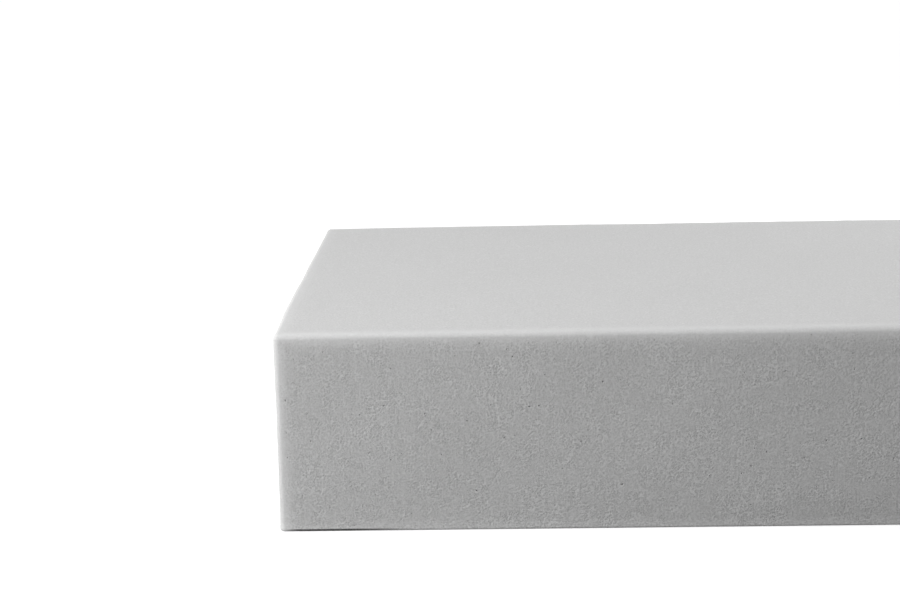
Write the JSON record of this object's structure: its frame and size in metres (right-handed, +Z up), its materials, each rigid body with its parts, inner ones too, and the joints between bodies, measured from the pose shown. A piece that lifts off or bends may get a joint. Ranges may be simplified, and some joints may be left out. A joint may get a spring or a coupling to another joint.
{
  "type": "foam block",
  "caption": "Rectangular block of fine open-cell foam with flat faces and softly rounded edges, used as padding, packing or a seat core.",
  "frame": {"origin": "centre of the underside", "axes": "+X along the length, +Y from the front long side to the back, +Z up through the thickness"},
  "size_m": [0.6, 0.3, 0.1],
  "materials": {
    "foam": "matte"
  },
  "bodies": {
    "root": {"foam_block": "foam"}
  },
  "joints": []
}
